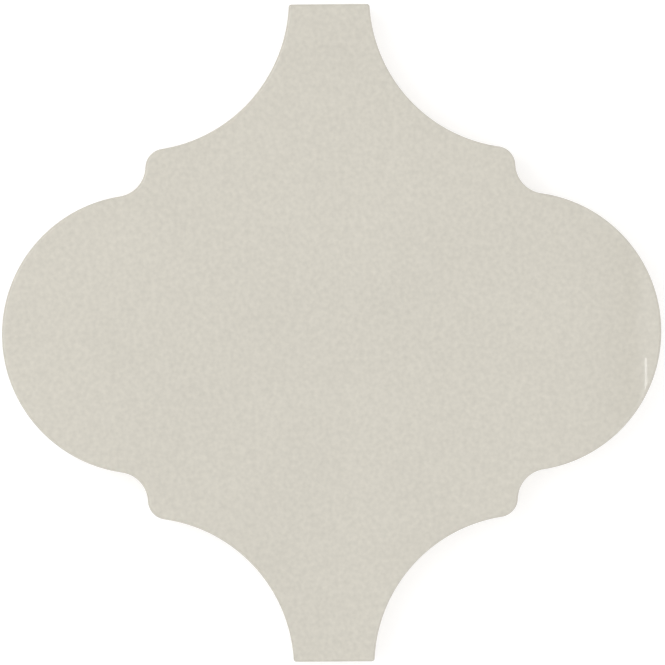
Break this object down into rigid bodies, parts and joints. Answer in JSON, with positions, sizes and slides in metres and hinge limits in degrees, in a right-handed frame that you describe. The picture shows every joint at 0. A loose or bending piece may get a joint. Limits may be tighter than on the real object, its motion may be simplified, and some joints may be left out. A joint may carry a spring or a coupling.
{
  "type": "wall tile",
  "caption": "Glazed ceramic lantern-shaped wall tile with round side lobes, stepped shoulders, straight-cut necks and a keyed back.",
  "frame": {"origin": "centre of the back, which lies on the floor or bonds to the wall", "axes": "+X from lobe to lobe, the widest way; +Y from neck to neck; +Z out of the glazed face, through the thickness"},
  "size_m": [0.12, 0.1196, 0.008],
  "materials": {
    "glazed_body": "gloss"
  },
  "bodies": {
    "root": {"tile": "glazed_body"}
  },
  "joints": []
}
